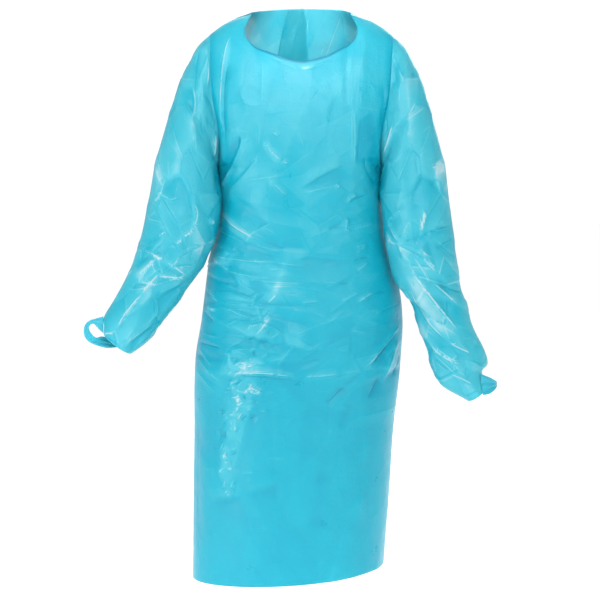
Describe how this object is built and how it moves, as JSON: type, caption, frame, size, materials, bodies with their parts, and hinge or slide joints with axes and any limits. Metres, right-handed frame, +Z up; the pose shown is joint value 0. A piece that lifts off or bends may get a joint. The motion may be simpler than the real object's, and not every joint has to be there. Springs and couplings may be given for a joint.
{
  "type": "sleeved apron",
  "caption": "Over-the-head film apron with long sleeves, thumb loops at the cuffs, a wide low neckline and a lapped back tied at the waist, held in its worn form.",
  "frame": {"origin": "between the two sides of the neckline, level with them, where the wearer's neck and shoulders hold the apron up", "axes": "+Z up along the garment's length, -Y the way the wearer faces, +X towards the wearer's left"},
  "size_m": [0.86, 0.2826, 1.2187],
  "materials": {
    "film": "glossy, slightly see-through blue polyethylene film"
  },
  "bodies": {
    "root": {"front": "film", "back_left": "film", "back_right": "film", "sleeve_right": "film", "sleeve_left": "film", "thumb_loop_right": "film", "thumb_loop_left": "film", "tie_right": "film", "tie_left": "film", "tie_knot": "film"}
  },
  "joints": []
}
